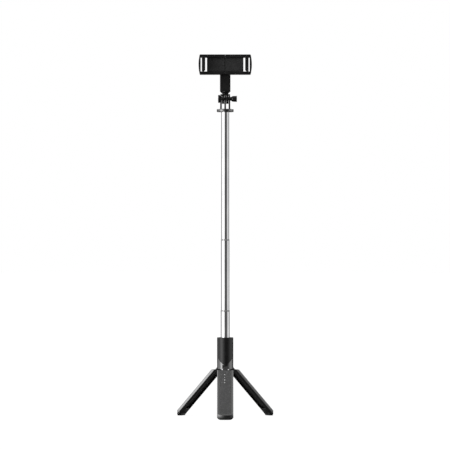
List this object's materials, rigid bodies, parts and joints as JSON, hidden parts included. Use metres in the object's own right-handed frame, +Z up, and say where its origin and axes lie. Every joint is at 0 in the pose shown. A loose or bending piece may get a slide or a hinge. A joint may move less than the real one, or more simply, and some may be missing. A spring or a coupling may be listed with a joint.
{
  "type": "selfie stick with tripod stand",
  "caption": "Telescopic selfie stick whose handle unfolds into a small stand, with a tilting, turning spring clamp for a phone.",
  "frame": {"origin": "on the floor, under the middle of the whole object's box in X and Y; the rod's axis stands 15.0 mm behind it at Y = +0.015", "axes": "+Z up along the rod, -Y towards the front leg and the phone's side of the clamp, +X to the side of the thumb knob"},
  "size_m": [0.1454, 0.1294, 0.5432],
  "materials": {
    "satin_black": "satin injection-moulded plastic",
    "plate_black": "fine matt plastic",
    "gloss_black": "polished plastic",
    "hinge_black": "semi-gloss plastic",
    "inner_black": "matt plastic",
    "panel_grey": "fine-grained matt coating",
    "ring_grey": "smooth plastic",
    "tube_steel": "polished stainless tube",
    "steel": "plated steel",
    "steel_black": "black oxide",
    "brass": "turned brass",
    "rubber_black": "soft rubber"
  },
  "bodies": {
    "hub": {"collar_sleeve": "satin_black", "hub_body": "gloss_black", "leg_pins": "steel", "hub_set_screws": "steel", "base_tube": "tube_steel", "base_tube_plug": "satin_black"},
    "leg_front": {"leg_shell_front": "gloss_black", "leg_inlay_front": "panel_grey", "leg_core_front": "inner_black", "leg_screws_front": "steel_black", "foot_pad_front": "rubber_black"},
    "leg_right": {"leg_shell_right": "gloss_black", "leg_inlay_right": "panel_grey", "leg_core_right": "inner_black", "leg_screws_right": "steel_black", "foot_pad_right": "rubber_black"},
    "leg_left": {"leg_shell_left": "gloss_black", "leg_inlay_left": "panel_grey", "leg_core_left": "inner_black", "leg_screws_left": "steel_black", "foot_pad_left": "rubber_black"},
    "lower_tube": {"tube_2": "tube_steel", "tube_2_friction_ring": "inner_black", "tube_2_guide_ring": "ring_grey"},
    "middle_tube": {"tube_3": "tube_steel", "tube_3_friction_ring": "inner_black", "tube_3_guide_ring": "ring_grey"},
    "upper_tube": {"tube_4": "tube_steel", "tube_4_friction_ring": "inner_black", "rod_top_plug": "inner_black", "mount_screw": "steel", "flange_ring": "gloss_black", "three_prong_mount": "hinge_black", "hex_nut": "steel"},
    "thumb_screw": {"thumb_bolt": "steel", "thumb_knob": "hinge_black"},
    "tilt_block": {"tilt_adapter": "hinge_black", "tripod_stud": "steel"},
    "lock_nut": {"lock_ring": "hinge_black"},
    "holder_arm": {"neck_arm": "satin_black", "arm_cover": "satin_black", "brass_insert": "brass", "arm_screws": "steel_black", "arm_cap": "satin_black", "pivot_friction_disc": "rubber_black"},
    "clamp_fixed_half": {"clamp_base": "satin_black", "clamp_back_cover": "satin_black", "base_plate": "plate_black", "plate_screw": "steel_black", "pivot_screw": "steel", "jaw_pin_left": "steel"},
    "clamp_moving_half": {"clamp_slider": "satin_black", "slider_plate": "plate_black", "slide_rods": "steel", "jaw_pin_right": "steel", "clamp_springs": "steel"},
    "left_jaw": {"jaw_left": "satin_black", "jaw_pad_left": "rubber_black"},
    "right_jaw": {"jaw_right": "satin_black", "jaw_pad_right": "rubber_black"}
  },
  "joints": [
    {"name": "leg_front_fold", "type": "hinge", "parent": "hub", "child": "leg_front", "pos_m": [0, 0.00653, 0.0755], "axis": [1, 0, 0], "range_deg": [0, 43.6]},
    {"name": "leg_right_fold", "type": "hinge", "parent": "hub", "child": "leg_right", "pos_m": [0.00801, 0.0204, 0.0755], "axis": [-0.5, 0.866, 0], "range_deg": [0, 43.6]},
    {"name": "leg_left_fold", "type": "hinge", "parent": "hub", "child": "leg_left", "pos_m": [-0.00801, 0.0204, 0.0755], "axis": [-0.5, -0.866, 0], "range_deg": [0, 43.6]},
    {"name": "lower_tube_slide", "type": "slide", "parent": "hub", "child": "lower_tube", "axis": [0, 0, 1], "range_m": [-0.039, 0.048]},
    {"name": "middle_tube_slide", "type": "slide", "parent": "lower_tube", "child": "middle_tube", "axis": [0, 0, 1], "range_m": [-0.093, 0]},
    {"name": "upper_tube_slide", "type": "slide", "parent": "middle_tube", "child": "upper_tube", "axis": [0, 0, 1], "range_m": [-0.107, 0]},
    {"name": "thumb_screw_turn", "type": "hinge", "parent": "upper_tube", "child": "thumb_screw", "pos_m": [0, 0.01578, 0.4774], "axis": [1, 0, 0], "continuous": true},
    {"name": "holder_tilt", "type": "hinge", "parent": "upper_tube", "child": "tilt_block", "pos_m": [0, 0.01578, 0.4774], "axis": [1, 0, 0], "range_deg": [-75, 75]},
    {"name": "lock_nut_turn", "type": "hinge", "parent": "tilt_block", "child": "lock_nut", "pos_m": [0, 0.01578, 0.4865], "axis": [0, 0, 1], "continuous": true},
    {"name": "holder_pan", "type": "hinge", "parent": "tilt_block", "child": "holder_arm", "pos_m": [0, 0.01578, 0.492], "axis": [0, 0, 1], "range_deg": [-180, 180]},
    {"name": "clamp_turn", "type": "hinge", "parent": "holder_arm", "child": "clamp_fixed_half", "pos_m": [0, 0.00898, 0.5282], "axis": [0, -1, 0], "range_deg": [0, 90]},
    {"name": "clamp_open", "type": "slide", "parent": "clamp_fixed_half", "child": "clamp_moving_half", "axis": [1, 0, 0], "range_m": [0, 0.022], "stiffness_N_per_m": 150, "springref_m": -0.02, "deforming": ["clamp_springs"]},
    {"name": "left_jaw_fold", "type": "hinge", "parent": "clamp_fixed_half", "child": "left_jaw", "pos_m": [-0.0331, -0.00292, 0.5282], "axis": [0, 0, 1], "range_deg": [0, 90]},
    {"name": "right_jaw_fold", "type": "hinge", "parent": "clamp_moving_half", "child": "right_jaw", "pos_m": [0.0331, -0.00292, 0.5282], "axis": [0, 0, -1], "range_deg": [0, 90]}
  ]
}
